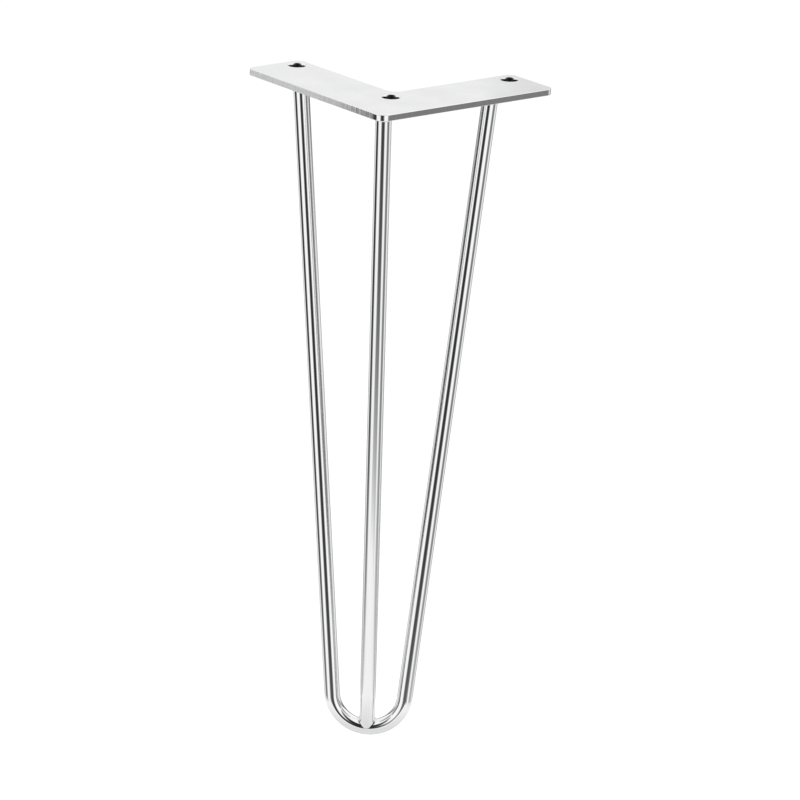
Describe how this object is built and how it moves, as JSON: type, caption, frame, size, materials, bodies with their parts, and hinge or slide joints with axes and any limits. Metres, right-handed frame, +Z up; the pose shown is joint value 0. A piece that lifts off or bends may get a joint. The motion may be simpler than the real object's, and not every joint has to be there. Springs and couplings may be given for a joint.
{
  "type": "hairpin table leg",
  "caption": "Chrome hairpin table leg: an L-shaped screw plate on a rod bent into a narrow U, with a straight middle rod welded from the plate's corner to the bend.",
  "frame": {"origin": "on the plate's top face, where the centre lines of its two arms cross", "axes": "+Z up, out of the plate's top face; +Y along the plate's line of symmetry, from its outer corner to the notch between the arms; +X to the side of the right arm"},
  "size_m": [0.1796, 0.1156, 0.406],
  "materials": {
    "satin_chrome": "satin chrome on flat plate",
    "polished_chrome": "polished chrome on round rod",
    "weld_chrome": "chrome over weld beads"
  },
  "bodies": {
    "root": {"mounting_plate": "satin_chrome", "hairpin_rod": "polished_chrome", "middle_rod": "polished_chrome", "plate_welds": "weld_chrome", "foot_weld": "weld_chrome"}
  },
  "joints": []
}
